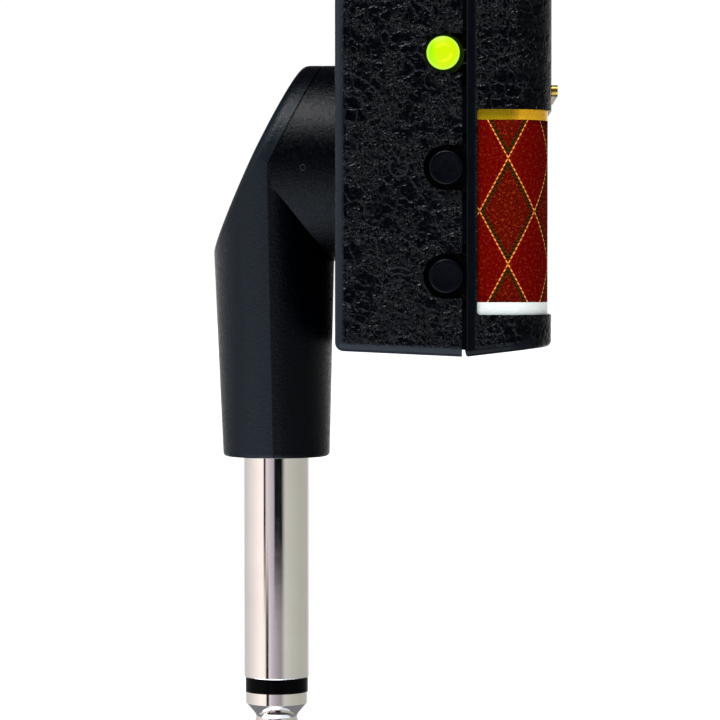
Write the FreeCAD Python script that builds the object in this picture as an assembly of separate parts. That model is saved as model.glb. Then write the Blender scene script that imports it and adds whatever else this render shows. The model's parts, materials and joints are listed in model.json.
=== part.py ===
import FreeCAD, Part
import math
import os

# Wireless guitar transmitter on a swivelling 6.35 mm plug.
# Millimetres.  Origin: on the plug's axis, at the shoulder where the sleeve leaves the arm.
# +Z runs up the plug's axis into the arm, +X towards the decorated front, -Y is the side
# with the buttons.  Two bodies turn about the swivel axis (along X): the plug arm and the
# housing.  Each button slides along +Y into the housing.

V = FreeCAD.Vector
X_AXIS = V(1, 0, 0)
Y_AXIS = V(0, 1, 0)
Z_AXIS = V(0, 0, 1)
FAR = 100.0                    # beyond every piece, for cutting tools

# ---- plug ----------------------------------------------------------------------------
SLEEVE_R = 3.175               # 6.35 mm plug
SLEEVE_LENGTH = 21.3
INSULATOR_R = 3.02
INSULATOR_LENGTH = 1.4
TUBE_R = 1.9                   # insulating tube inside the sleeve
ROD_R = 1.1                    # tip's rod inside the tube
TIP_COLLAR_LENGTH = 1.1
TIP_NECK_R, TIP_NECK_Z = 2.04, -25.2
TIP_BULGE_R, TIP_BULGE_Z = 2.92, -26.75
TIP_NOSE_R, TIP_END_Z = 1.3, -31.2
SHANK_R = 3.0                  # sleeve's seat inside the arm
SHANK_TOP_Z = 7.4
COLLAR_R, COLLAR_Z, COLLAR_THICK = 4.0, 2.2, 1.5

# ---- arm -----------------------------------------------------------------------------
BARREL_R = 5.11                # round lower end
BARREL_LEAN = 0.0106           # the barrel's centre moves towards -X, per mm of height
BARREL_SIDE_TAPER = 0.0334     # growth of the half width along X, per mm of height
BARREL_WIDE_TAPER = 0.152      # growth of the half width along Y, per mm of height
HUB_Z = 28.1                   # height of the swivel axis
HUB_R = 9.35
HUB_FACE_X = 6.2
TALL_Z = 42.0                  # above the whole arm
SHOULDER_ARC_R = 298.0         # large arc of the sloping outer face
SHOULDER_ARC_X, SHOULDER_ARC_Z = 266.4, -101.24
SHOULDER_EDGE_R = 1.1
RIM_R = 0.4
ARM_WALL = 1.5
ARM_SEAT_TOP_Z = 6.6           # top of the solid block that grips the plug
SPLIT_BEND_Z = 27.7            # the parting plane leans forward above this height
SPLIT_BEND_X = -0.33
SPLIT_LEAN = 0.5               # X per Z of the leaning stretch
SPLIT_GROOVE = 0.14
ARM_POST_R = 1.9
ARM_SCREW_R, ARM_SCREW_HEAD_R, ARM_SCREW_HEAD_H = 0.8, 1.35, 1.1
ARM_SCREW_YZ = [(-5.5, 24.5), (5.5, 24.5)]
ARM_SCREW_SEAT_X, ARM_SCREW_HOLE_END_X = 4.8, -2.6

# ---- swivel --------------------------------------------------------------------------
SPINDLE_R, SPINDLE_BORE_R = 3.5, 2.2
SPINDLE_FLANGE_R, SPINDLE_FLANGE_X, SPINDLE_FLANGE_THICK = 4.5, 3.5, 1.2
SPINDLE_END_X = 11.7
RUNNING_CLEARANCE = 0.06
BUSH_R, BUSH_FLANGE_R = 4.8, 6.2
BUSH_END_X = 9.4
CLIP_X, CLIP_THICK = 10.5, 0.6
CLIP_INNER_R, CLIP_OUTER_R = 2.9, 5.0
GLIDE_INNER_R, GLIDE_OUTER_R = 8.1, 8.8
GLIDE_DEPTH, GLIDE_PROUD = 0.5, 0.22

# ---- housing -------------------------------------------------------------------------
BACK_X, FRONT_X = 6.5, 25.6
SEAM_X, SEAM_GAP = 17.85, 0.35
REAR_EDGE_X = SEAM_X - SEAM_GAP / 2
FRONT_EDGE_X = SEAM_X + SEAM_GAP / 2
BOTTOM_Z, TOP_Z = 10.2, 54.8
HALF_WIDTH = 26.0
REAR_DRAFT = math.tan(math.radians(2.6))
FRONT_DRAFT = math.tan(math.radians(6.8))
SIDE_DRAFT = math.tan(math.radians(0.8))
SOFT_EDGE_R = 0.8              # rear shell's long edges and the back's rim
FRONT_RIM_R = 0.55             # front shell's top and bottom rims
FRONT_CORNER_R = 3.75          # upright front corners
REAR_WALL, FRONT_WALL = 1.6, 1.9
SEAM_EDGE_R = 0.18             # front shell's outer edge at the seam
LIP_INSET, LIP_THICK = 0.62, 0.7       # tongue at the seam, from the outside inwards
LIP_START_X, LIP_END_X = 16.7, 18.9
LIP_CLEARANCE = 0.07
LIP_GAP_HALF = 2.9             # half the tongue's gap at each control

# ---- wrap-round trim -----------------------------------------------------------------
BAND_START_X = 18.98
BAND_BOTTOM_Z, BAND_TOP_Z = 13.9, 31.9
GOLD_HEIGHT, WHITE_HEIGHT = 0.9, 1.1
BAND_RECESS, BAND_THICK = 0.33, 0.55
BADGE_SIZE = (0.6, 15.0, 1.0)          # stands proud, width, height
BADGE_CENTRE_Y, BADGE_CENTRE_Z = -13.5, 33.8
BADGE_RIM, BADGE_POCKET = 0.25, 0.2

# ---- controls on the -Y side ---------------------------------------------------------
BUTTON_X, POWER_Z, LINK_Z = 16.26, 26.8, 17.3
BUTTON_R, BUTTON_WELL_R = 1.5, 1.98
BUTTON_PROUD, BUTTON_TRAVEL = 0.32, 0.35
BUTTON_FLANGE_R, BUTTON_FLANGE_Y = 2.2, -24.0      # radius, outer face
LED_X, LED_Z, LED_R, LED_HOLE_R = 16.0, 36.82, 1.45, 1.72
LED_PROUD, LED_DOME_R = 0.55, 2.6
LED_FLANGE_R, LED_BACK_Y = 1.85, -23.4
SWITCH_FRONT_Y, SWITCH_DEPTH, SWITCH_HALF_Z = -22.4, 3.0, 2.1
SWITCH_TALL = 4.0
PLUNGER_R, PLUNGER_CLEARANCE = 0.8, 0.08

# ---- electronics ---------------------------------------------------------------------
BOARD_X, BOARD_THICK = 18.3, 1.0       # rear face, thickness
BOARD_HALF_WIDTH = 23.0
BOARD_BOTTOM_Z, BOARD_TOP_Z = 12.9, 52.1
CASE_SCREW_YZ = [(-16.0, 14.6), (16.0, 14.6), (-20.3, 50.0), (20.3, 50.0)]
BOARD_SCREW_YZ = [(-9.5, 49.4), (9.5, 49.4)]
POST_R = 2.0
CASE_SCREW_SEAT_X, CASE_SCREW_R, CASE_SCREW_LENGTH = 8.5, 1.0, 13.0
BOARD_SCREW_R, BOARD_SCREW_LENGTH = 0.8, 3.2
USB_Z = 21.0
USB_HALF_LONG, USB_HALF_TALL, USB_DEPTH = 4.47, 1.63, 7.3
BATTERY = (20.0, 23.3, -17.0, 17.0, 17.2, 45.0)
COAX_R = 0.75


# ======================================================================================
#  helpers
# ======================================================================================
def save(name, *shapes):
    """Write one node: a single solid, or a group of separate solids."""
    shape = shapes[0] if len(shapes) == 1 else Part.makeCompound(list(shapes))
    shape.exportStep(os.path.join("parts", name + ".step"))


def box(x0, x1, y0, y1, z0, z1):
    return Part.makeBox(x1 - x0, y1 - y0, z1 - z0, V(x0, y0, z0))


def rod_x(radius, x0, x1, y, z):
    return Part.makeCylinder(radius, x1 - x0, V(x0, y, z), X_AXIS)


def rod_y(radius, y0, y1, x, z):
    return Part.makeCylinder(radius, y1 - y0, V(x, y0, z), Y_AXIS)


def rod_z(radius, z0, z1, x=0.0, y=0.0):
    return Part.makeCylinder(radius, z1 - z0, V(x, y, z0), Z_AXIS)


def tube_x(outer, inner, x0, x1, y, z):
    return rod_x(outer, x0, x1, y, z).cut(rod_x(inner, x0 - 1, x1 + 1, y, z))


def edges_where(shape, test):
    return [edge for edge in shape.Edges if test(edge)]


def runs_along(edge, axis):
    """True where a straight edge is close to parallel to the axis."""
    if edge.Curve.TypeId != "Part::GeomLine":
        return False
    along = edge.valueAt(edge.LastParameter) - edge.valueAt(edge.FirstParameter)
    return abs(along.normalize().dot(axis)) > 0.97


def tapered_block(x0, rect0, x1, rect1):
    """Solid between two upright rectangles (half width, low z, high z) at x0 < x1."""
    (half0, low0, high0), (half1, low1, high1) = rect0, rect1
    block = Part.makeWedge(-half0, x0, low0, low1, -half1, half0, x1, high0, high1, half1)
    return block.rotate(V(0, 0, 0), Z_AXIS, -90)


def pipe(points_arcs, radius):
    """Round wire along lines and tangent arcs.  Each item is 2 points or 3 (an arc)."""
    edges = []
    for item in points_arcs:
        points = [V(*point) for point in item]
        if len(points) == 2:
            edges.append(Part.makeLine(*points))
        else:
            edges.append(Part.Arc(*points).toShape())
    path = Part.Wire(edges)
    start, direction = edges[0].valueAt(edges[0].FirstParameter), edges[0].tangentAt(0)
    profile = Part.Wire([Part.makeCircle(radius, start, direction)])
    return path.makePipeShell([profile], True, False)


def quarter_arc(start, bend, end):
    """Arc from start to end about the corner opposite the bend, as three points."""
    centre = V(*start) + V(*end) - V(*bend)
    radius = (V(*start) - centre).Length
    middle = centre + (V(*bend) - centre).normalize() * radius
    return (start, (middle.x, middle.y, middle.z), end)


def turned(profile):
    """Solid of revolution about Z.  The profile is a closed list of edges in the XZ plane."""
    return Part.Face(Part.Wire(profile)).revolve(V(0, 0, 0), Z_AXIS, 360)


def pan_screw(seat, direction, head_r, head_h, shank_r, length):
    """Cross-head screw.  The head's flat lies on the seat, the shank runs along direction."""
    axis = V(*direction)
    head_top = V(*seat) - axis * head_h
    head = Part.makeCylinder(head_r, head_h, head_top, axis)
    top_rim = edges_where(head, lambda e: (e.CenterOfMass - head_top).Length < 0.01)
    head = head.makeFillet(head_h * 0.4, top_rim)
    tip = Part.makeCone(shank_r, shank_r * 0.35, shank_r, V(*seat) + axis * length, axis)
    screw = head.fuse([Part.makeCylinder(shank_r, length, V(*seat), axis), tip])
    slot_depth, slot_half = head_h * 0.55, head_r * 0.14
    arm_half = head_r * 0.62
    slots = []
    for half_y, half_z in ((slot_half, arm_half), (arm_half, slot_half)):
        bar = box(-slot_depth, slot_depth, -half_y, half_y, -half_z, half_z)
        bar.translate(head_top)
        slots.append(bar)
    return screw.cut(slots).removeSplitter()


# ======================================================================================
#  plug
# ======================================================================================
def make_tip(face_z, rod_top):
    """Tip with its neck and bulge, and the rod that is riveted over above rod_top."""
    rivet_r, rivet_h = 1.6, 0.5
    collar_z = face_z - TIP_COLLAR_LENGTH
    neck_in = V(TIP_NECK_R + 0.12, 0, TIP_NECK_Z + 0.4)
    neck_out = V(TIP_NECK_R + 0.2, 0, TIP_NECK_Z - 0.5)
    bulge_out = V(TIP_BULGE_R - 0.25, 0, TIP_BULGE_Z - 0.75)

    def on_nose(degrees):
        angle = math.radians(degrees)
        return V(TIP_NOSE_R * math.sin(angle), 0,
                 TIP_END_Z + TIP_NOSE_R * (1 - math.cos(angle)))

    nose, nose_middle, end = on_nose(50), on_nose(25), V(0, 0, TIP_END_Z)
    upper = Part.makePolygon([V(0, 0, rod_top + rivet_h), V(rivet_r, 0, rod_top + rivet_h),
                              V(rivet_r, 0, rod_top), V(ROD_R, 0, rod_top),
                              V(ROD_R, 0, face_z), V(INSULATOR_R, 0, face_z),
                              V(INSULATOR_R, 0, collar_z), neck_in])
    lower = [
        Part.Arc(neck_in, V(TIP_NECK_R, 0, TIP_NECK_Z), neck_out).toShape(),
        Part.Arc(neck_out, V(TIP_BULGE_R, 0, TIP_BULGE_Z), bulge_out).toShape(),
        Part.makeLine(bulge_out, nose),
        Part.Arc(nose, nose_middle, end).toShape(),
        Part.makeLine(end, V(0, 0, rod_top + rivet_h)),
    ]
    return turned(upper.Edges + lower)


def make_plug():
    tip_face_z = -SLEEVE_LENGTH - INSULATOR_LENGTH
    sleeve = rod_z(SLEEVE_R, -SLEEVE_LENGTH, 0).fuse([
        rod_z(SHANK_R, 0, SHANK_TOP_Z),
        rod_z(COLLAR_R, COLLAR_Z, COLLAR_Z + COLLAR_THICK),
    ])
    sleeve = sleeve.cut(rod_z(TUBE_R, -SLEEVE_LENGTH - 1, SHANK_TOP_Z + 1))
    end_rim = edges_where(sleeve, lambda e: abs(e.CenterOfMass.z + SLEEVE_LENGTH) < 0.01
                          and abs(e.Curve.Radius - SLEEVE_R) < 0.01)
    save("plug_sleeve", sleeve.makeFillet(0.12, end_rim))

    ring = rod_z(INSULATOR_R, tip_face_z, -SLEEVE_LENGTH)
    tube = rod_z(TUBE_R, -SLEEVE_LENGTH - 0.5, SHANK_TOP_Z)
    save("plug_insulator", ring.fuse(tube).cut(rod_z(ROD_R, -40, 20)).removeSplitter())

    rod_top = SHANK_TOP_Z + 1.2
    save("plug_tip", make_tip(tip_face_z, rod_top))

    washer = rod_z(2.8, SHANK_TOP_Z, SHANK_TOP_Z + 0.8).cut(rod_z(ROD_R, 0, 20))
    save("plug_rear_washer", washer)

    lug_z = SHANK_TOP_Z + 0.8
    tip_lug = rod_z(2.2, lug_z, lug_z + 0.4).fuse(box(-0.7, 0.7, 1.2, 3.6, lug_z, lug_z + 0.4))
    tip_lug = tip_lug.fuse(box(-0.7, 0.7, 3.2, 3.6, lug_z, lug_z + 4.5))
    save("tip_solder_lug", tip_lug.cut(rod_z(ROD_R, 0, 20)).removeSplitter())

    lug_z = ARM_SEAT_TOP_Z
    ground_lug = rod_z(3.7, lug_z, lug_z + 0.4).fuse(
        box(-0.7, 0.7, -4.4, -3.2, lug_z, lug_z + 0.4))
    ground_lug = ground_lug.fuse(box(-0.7, 0.7, -4.4, -4.0, lug_z, lug_z + 5.0))
    save("ground_solder_lug", ground_lug.cut(rod_z(SHANK_R, 0, 20)).removeSplitter())


# ======================================================================================
#  arm
# ======================================================================================
def arm_form(inset):
    """The arm's outside shape, moved inwards all over by inset."""
    hub_r = HUB_R - inset
    low_r = BARREL_R - inset

    def section(z):
        middle_x = -BARREL_LEAN * z
        half_x = low_r + BARREL_SIDE_TAPER * z
        half_y = low_r + BARREL_WIDE_TAPER * z
        if half_y > half_x:
            ellipse = Part.Ellipse(V(middle_x, half_y, z), V(middle_x + half_x, 0, z),
                                   V(middle_x, 0, z))
        else:
            ellipse = Part.Circle(V(middle_x, 0, z), Z_AXIS, half_x)
        return Part.Wire([ellipse.toShape()])

    # The barrel's widest line leaves the hub's circle at this height.
    lean = math.atan(BARREL_WIDE_TAPER)
    reach = (low_r + HUB_Z * BARREL_WIDE_TAPER) * math.cos(lean)
    leave_z = HUB_Z - reach * math.sin(lean) + math.sqrt(hub_r ** 2 - reach ** 2) * math.cos(lean)
    barrel = Part.makeLoft([section(0), section(TALL_Z)], True, True)
    below = box(-20, 20, -20, 20, -5, leave_z)
    crown = rod_x(hub_r, -12, 0, 0, HUB_Z).common(box(-20, 20, -20, 20, leave_z, TALL_Z))
    hub = rod_x(hub_r, 0, HUB_FACE_X - inset, 0, HUB_Z)
    form = barrel.common(below).fuse([barrel.common(crown), hub])

    arc_r = SHOULDER_ARC_R - inset
    low_z = 12.0

    def arc_point(z):
        return V(SHOULDER_ARC_X - math.sqrt(arc_r ** 2 - (z - SHOULDER_ARC_Z) ** 2), -20, z)

    arc = Part.Arc(arc_point(low_z), arc_point((low_z + TALL_Z) / 2), arc_point(TALL_Z))
    left, right = -20.0, 20.0
    lines = Part.makePolygon([arc_point(TALL_Z), V(right, -20, TALL_Z), V(right, -20, -5),
                              V(left, -20, -5), V(left, -20, low_z), arc_point(low_z)])
    keep = Part.Face(Part.Wire([arc.toShape()] + lines.Edges)).extrude(V(0, 40, 0))
    return form.common(keep).removeSplitter()


def outer_side(shift=0.0):
    """Block on the outer side of the arm's parting surface, moved by shift along X."""
    top_z = 45.0
    top_x = SPLIT_BEND_X + (top_z - SPLIT_BEND_Z) * SPLIT_LEAN
    outline = Part.makePolygon([V(-30, -20, -10), V(0, -20, -10), V(0, -20, 0),
                                V(SPLIT_BEND_X, -20, SPLIT_BEND_Z),
                                V(top_x, -20, top_z), V(-30, -20, top_z), V(-30, -20, -10)])
    side = Part.Face(outline).extrude(V(0, 40, 0))
    side.translate(V(shift, 0, 0))
    return side


def round_shoulder(form):
    """Round the edges of the sloping face and the arm's lower rim."""
    slope = [face for face in form.Faces if face.Surface.TypeId == "Part::GeomCylinder"
             and abs(face.Surface.Radius - SHOULDER_ARC_R) < 0.1]
    rounded = form.makeFillet(SHOULDER_EDGE_R, slope[0].Edges)
    rounded.fix(1e-3, 1e-6, 1e-2)
    rim = edges_where(rounded, lambda e: e.BoundBox.ZMax < 0.01)
    return rounded.makeFillet(RIM_R, rim)


def make_arm():
    outside = round_shoulder(largest(arm_form(0)))
    cavity = arm_form(ARM_WALL).cut(box(-20, 20, -20, 20, -10, ARM_SEAT_TOP_Z))
    cavity = cavity.cut([rod_x(ARM_POST_R, -FAR / 2, HUB_FACE_X, y, z)
                         for y, z in ARM_SCREW_YZ])
    arm = outside.cut([cavity, rod_z(SHANK_R, -1, SHANK_TOP_Z + 1),
                       rod_z(COLLAR_R, COLLAR_Z, COLLAR_Z + COLLAR_THICK),
                       rod_x(SPINDLE_R, 0, 20, 0, HUB_Z),
                       tube_x(GLIDE_OUTER_R, GLIDE_INNER_R, HUB_FACE_X - GLIDE_DEPTH, 20,
                              0, HUB_Z)])
    groove_slab = outer_side(SPLIT_GROOVE / 2).cut(outer_side(-SPLIT_GROOVE / 2))
    groove = groove_slab.cut(arm_form(SPLIT_GROOVE * 1.3))
    arm = arm.cut(groove)

    cuts = []
    for y, z in ARM_SCREW_YZ:
        cuts += [rod_x(ARM_SCREW_HEAD_R + 0.15, ARM_SCREW_SEAT_X, 20, y, z),
                 rod_x(ARM_SCREW_R, ARM_SCREW_HOLE_END_X, ARM_SCREW_SEAT_X, y, z)]
    arm = arm.cut(cuts)
    cover = arm.common(outer_side())
    housing = arm.cut(outer_side())
    save("arm_outer_cover", largest(cover))
    save("arm_inner_housing", largest(housing))

    length = ARM_SCREW_SEAT_X - ARM_SCREW_HOLE_END_X - 0.8
    screws = [pan_screw((ARM_SCREW_SEAT_X, y, z), (-1, 0, 0), ARM_SCREW_HEAD_R,
                        ARM_SCREW_HEAD_H, ARM_SCREW_R, length) for y, z in ARM_SCREW_YZ]
    save("arm_screws", *screws)


def largest(shape):
    return max(shape.Solids, key=lambda solid: solid.Volume)


# ======================================================================================
#  swivel
# ======================================================================================
def make_swivel():
    flange_end = SPINDLE_FLANGE_X + SPINDLE_FLANGE_THICK
    spindle = rod_x(SPINDLE_R, SPINDLE_FLANGE_X, SPINDLE_END_X, 0, HUB_Z).fuse(
        rod_x(SPINDLE_FLANGE_R, SPINDLE_FLANGE_X, flange_end, 0, HUB_Z))
    spindle = spindle.cut([rod_x(SPINDLE_BORE_R, 0, 20, 0, HUB_Z),
                           tube_x(6, CLIP_INNER_R, CLIP_X, CLIP_X + CLIP_THICK, 0, HUB_Z)])
    save("swivel_spindle", spindle.removeSplitter())

    bore = SPINDLE_R + RUNNING_CLEARANCE
    wall_x = BACK_X + REAR_WALL
    bush = rod_x(BUSH_R, BACK_X, BUSH_END_X, 0, HUB_Z).fuse(
        rod_x(BUSH_FLANGE_R, wall_x, wall_x + 0.9, 0, HUB_Z))
    save("swivel_bush", bush.cut(rod_x(bore, 0, 20, 0, HUB_Z)).removeSplitter())

    inner, outer, thick = SPINDLE_R + 0.15, 5.3, 0.3
    low_x, high_x = BUSH_END_X + 0.1, CLIP_X - thick
    profile = Part.makePolygon([V(low_x, outer, 0), V(low_x + thick, outer, 0),
                                V(high_x + thick, inner, 0), V(high_x, inner, 0),
                                V(low_x, outer, 0)])
    washer = Part.Face(profile).revolve(V(0, 0, 0), X_AXIS, 360)
    washer.translate(V(0, 0, HUB_Z))
    save("swivel_spring_washer", washer)

    clip = tube_x(CLIP_OUTER_R, CLIP_INNER_R, CLIP_X, CLIP_X + CLIP_THICK, 0, HUB_Z)
    clip = clip.cut(box(CLIP_X - 1, CLIP_X + 2, -1.9, 1.9, HUB_Z, HUB_Z + 10))
    save("swivel_retaining_clip", clip)

    glide = tube_x(GLIDE_OUTER_R, GLIDE_INNER_R, HUB_FACE_X - GLIDE_DEPTH,
                   HUB_FACE_X + GLIDE_PROUD, 0, HUB_Z)
    save("swivel_glide_ring", glide)


# ======================================================================================
#  housing shells
# ======================================================================================
def rear_form(inset):
    """Outside of the rear shell moved inwards, from the seam to the back."""
    depth = REAR_EDGE_X - BACK_X - inset
    seam_rect = (HALF_WIDTH - inset, BOTTOM_Z + inset, TOP_Z - inset)
    back_rect = (HALF_WIDTH - inset - depth * SIDE_DRAFT,
                 BOTTOM_Z + inset + depth * REAR_DRAFT, TOP_Z - inset - depth * REAR_DRAFT)
    form = tapered_block(BACK_X + inset, back_rect, REAR_EDGE_X, seam_rect)
    radius = max(SOFT_EDGE_R - inset, 0.25)
    long_edges = edges_where(form, lambda e: runs_along(e, X_AXIS))
    form = form.makeFillet(radius, long_edges)
    back_rim = edges_where(form, lambda e: e.BoundBox.XMax < BACK_X + inset + 0.01)
    return form.makeFillet(radius * 0.98, back_rim)


def front_form(inset):
    """Outside of the front shell moved inwards, from the seam to the front."""
    depth = FRONT_X - inset - FRONT_EDGE_X
    seam_rect = (HALF_WIDTH - inset, BOTTOM_Z + inset, TOP_Z - inset)
    face_rect = (HALF_WIDTH - inset - depth * SIDE_DRAFT,
                 BOTTOM_Z + inset + depth * FRONT_DRAFT, TOP_Z - inset - depth * FRONT_DRAFT)
    form = tapered_block(FRONT_EDGE_X, seam_rect, FRONT_X - inset, face_rect)
    face_x = FRONT_X - inset
    corners = edges_where(form, lambda e: runs_along(e, Z_AXIS)
                          and e.BoundBox.XMin > face_x - 0.01)
    form = form.makeFillet(FRONT_CORNER_R - inset, corners)
    # The top's and bottom's rims run from the seam round the front and back.
    low_face_z, high_face_z = BOTTOM_Z + inset + 2.0, TOP_Z - inset - 2.0
    rims = edges_where(form, lambda e: (e.BoundBox.ZMax < low_face_z
                                        or e.BoundBox.ZMin > high_face_z)
                       and e.BoundBox.XMax > FRONT_EDGE_X + 0.1)
    form = form.makeFillet(max(FRONT_RIM_R - inset, 0.25), rims)
    if inset:
        return form
    seam_rim = edges_where(form, lambda e: e.BoundBox.XMax < FRONT_EDGE_X + 0.01)
    return form.makeFillet(SEAM_EDGE_R, seam_rim)


def control_openings():
    """Round-ended notches in the -Y wall that run out into the seam."""
    openings = []
    for radius, x, z in ((BUTTON_WELL_R, BUTTON_X, POWER_Z), (BUTTON_WELL_R, BUTTON_X, LINK_Z),
                         (LED_HOLE_R, LED_X, LED_Z)):
        openings.append(rod_y(radius, -30, -24, x, z))
        openings.append(box(x, REAR_EDGE_X + 0.1, -30, -24, z - radius, z + radius))
    return openings


def usb_slot():
    """Opening in the +Y wall around the charging port."""
    centre_x = BOARD_X - USB_HALF_TALL
    half_long, half_tall = USB_HALF_LONG + 0.2, USB_HALF_TALL + 0.2
    slot = box(centre_x - half_tall, centre_x + half_tall, 21, 30,
               USB_Z - half_long, USB_Z + half_long)
    return slot.makeFillet(1.3, edges_where(slot, lambda e: runs_along(e, Y_AXIS)))


def make_rear_shell():
    outside = rear_form(0)
    rebate_inset = LIP_INSET - LIP_CLEARANCE
    rebate = box(LIP_START_X - LIP_CLEARANCE, REAR_EDGE_X + 1, rebate_inset - HALF_WIDTH,
                 HALF_WIDTH - rebate_inset, BOTTOM_Z + rebate_inset, TOP_Z - rebate_inset)
    shell = outside.cut(rear_form(REAR_WALL).fuse(rebate))
    adds, cuts = [], []
    for y, z in CASE_SCREW_YZ:
        adds += [rod_x(3.1, BACK_X + 1, CASE_SCREW_SEAT_X + 1.4, y, z),
                 rod_x(POST_R, BACK_X + 1, LIP_START_X + 0.4, y, z)]
        cuts += [rod_x(2.15, 0, CASE_SCREW_SEAT_X, y, z),
                 rod_x(CASE_SCREW_R + 0.12, 0, 30, y, z)]
    adds.append(rod_x(BUSH_R + 2.6, BACK_X + 1, BACK_X + REAR_WALL, 0, HUB_Z))
    shell = shell.fuse([piece.common(outside) for piece in adds])
    shell = shell.cut(cuts + control_openings() + [usb_slot(), rod_x(BUSH_R, 0, 9, 0, HUB_Z)])
    save("rear_shell", largest(shell.removeSplitter()))


def lip():
    """Tongue of the front shell that stands inside the rear shell's rim."""
    def plug(inset):
        return box(LIP_START_X, LIP_END_X, -HALF_WIDTH + inset, HALF_WIDTH - inset,
                   BOTTOM_Z + inset, TOP_Z - inset)
    ring = plug(LIP_INSET).cut(plug(LIP_INSET + LIP_THICK))
    gaps = [box(0, LIP_END_X, -30, -20, z - LIP_GAP_HALF, z + LIP_GAP_HALF)
            for z in (POWER_Z, LINK_Z, LED_Z)]
    usb_gap_half = USB_HALF_LONG + 0.9
    gaps.append(box(0, LIP_END_X, 20, 30, USB_Z - usb_gap_half, USB_Z + usb_gap_half))
    return ring.cut(gaps)


def band_zone(low_z, high_z, start_x):
    """Region of the sides and front between two heights, with eased starting corners."""
    zone = box(start_x, 40, -40, 40, low_z, high_z)
    return zone.makeFillet(0.3, edges_where(
        zone, lambda e: runs_along(e, Y_AXIS) and e.BoundBox.XMax < start_x + 0.01))


def make_front_shell():
    shell = front_form(0).cut(front_form(FRONT_WALL)).fuse(lip())
    inner_x, pilot_end_x = FRONT_X - 1, 22.6
    pilots = []
    for yz_list, start_x, pilot_r in (
            (CASE_SCREW_YZ, LIP_START_X + 0.5, CASE_SCREW_R),
            (BOARD_SCREW_YZ, BOARD_X + BOARD_THICK, BOARD_SCREW_R)):
        for y, z in yz_list:
            shell = shell.fuse(rod_x(POST_R, start_x, inner_x, y, z))
            pilots.append(rod_x(pilot_r, 0, pilot_end_x, y, z))
    recess_floor = front_form(BAND_RECESS + BAND_THICK)
    recess = band_zone(BAND_BOTTOM_Z, BAND_TOP_Z, BAND_START_X).cut(recess_floor)
    for tool in [recess, usb_slot()] + pilots:
        shell = shell.cut(tool)
    save("front_shell", largest(shell))


def make_trim():
    skin = front_form(BAND_RECESS).cut(front_form(BAND_RECESS + BAND_THICK))
    band = skin.common(band_zone(BAND_BOTTOM_Z, BAND_TOP_Z, BAND_START_X))
    white_top = BAND_BOTTOM_Z + WHITE_HEIGHT
    gold_bottom = BAND_TOP_Z - GOLD_HEIGHT
    for name, low, high in (("white_trim_strip", 0, white_top),
                            ("grille_cloth_panel", white_top, gold_bottom),
                            ("gold_trim_strip", gold_bottom, FAR)):
        save(name, largest(band.common(box(0, 40, -40, 40, low, high))))

    proud, wide, tall = BADGE_SIZE
    face_x = FRONT_X
    y0, z0 = BADGE_CENTRE_Y - wide / 2, BADGE_CENTRE_Z - tall / 2
    plate = box(face_x, face_x + proud, y0, y0 + wide, z0, z0 + tall)
    plate = plate.makeFillet(tall * 0.45, edges_where(plate, lambda e: runs_along(e, X_AXIS)))
    pocket = box(face_x + proud - BADGE_POCKET, face_x + 2, y0 + BADGE_RIM,
                 y0 + wide - BADGE_RIM, z0 + BADGE_RIM, z0 + tall - BADGE_RIM)
    pocket = pocket.makeFillet(tall * 0.2, edges_where(pocket, lambda e: runs_along(e, X_AXIS)))
    save("badge_plate", plate.cut(pocket))
    inlay_x = face_x + proud - BADGE_POCKET / 2
    save("badge_inlay", pocket.common(box(0, inlay_x, -40, 40, 0, 60)))


def make_case_screws():
    screws = [pan_screw((CASE_SCREW_SEAT_X, y, z), (1, 0, 0), 1.95, 1.4, CASE_SCREW_R,
                        CASE_SCREW_LENGTH) for y, z in CASE_SCREW_YZ]
    save("case_screws", *screws)
    screws = [pan_screw((BOARD_X, y, z), (1, 0, 0), 1.6, 1.0, BOARD_SCREW_R,
                        BOARD_SCREW_LENGTH)
              for y, z in BOARD_SCREW_YZ]
    save("board_screws", *screws)


# ======================================================================================
#  controls
# ======================================================================================
def make_button(name, z):
    face_y = -HALF_WIDTH
    cap = rod_y(BUTTON_R, face_y - BUTTON_PROUD, BUTTON_FLANGE_Y + 0.1, BUTTON_X, z)
    outer_rim = edges_where(cap, lambda e: e.BoundBox.YMax < face_y - BUTTON_PROUD + 0.01)
    cap = cap.makeFillet(0.16, outer_rim)
    dish_r = 9.0
    dish = Part.makeSphere(dish_r, V(BUTTON_X, face_y - BUTTON_PROUD - dish_r + 0.08, z))
    flange = rod_y(BUTTON_FLANGE_R, BUTTON_FLANGE_Y, BUTTON_FLANGE_Y + 0.35, BUTTON_X, z)
    stem_end_y = SWITCH_FRONT_Y - 0.9
    stem = rod_y(PLUNGER_R, BUTTON_FLANGE_Y, stem_end_y, BUTTON_X, z)
    save(name + "_button", cap.fuse([flange, stem]).cut(dish).removeSplitter())

    plunger_end_y = SWITCH_FRONT_Y + 0.4
    save(name + "_switch_plunger", rod_y(PLUNGER_R, stem_end_y, plunger_end_y, BUTTON_X, z))

    switch = box(BOARD_X - SWITCH_TALL, BOARD_X, SWITCH_FRONT_Y, SWITCH_FRONT_Y + SWITCH_DEPTH,
                 z - SWITCH_HALF_Z, z + SWITCH_HALF_Z)
    bore_end = plunger_end_y + BUTTON_TRAVEL + 0.15
    save(name + "_switch_body", switch.cut(
        rod_y(PLUNGER_R + PLUNGER_CLEARANCE, SWITCH_FRONT_Y - 1, bore_end, BUTTON_X, z)))


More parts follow.
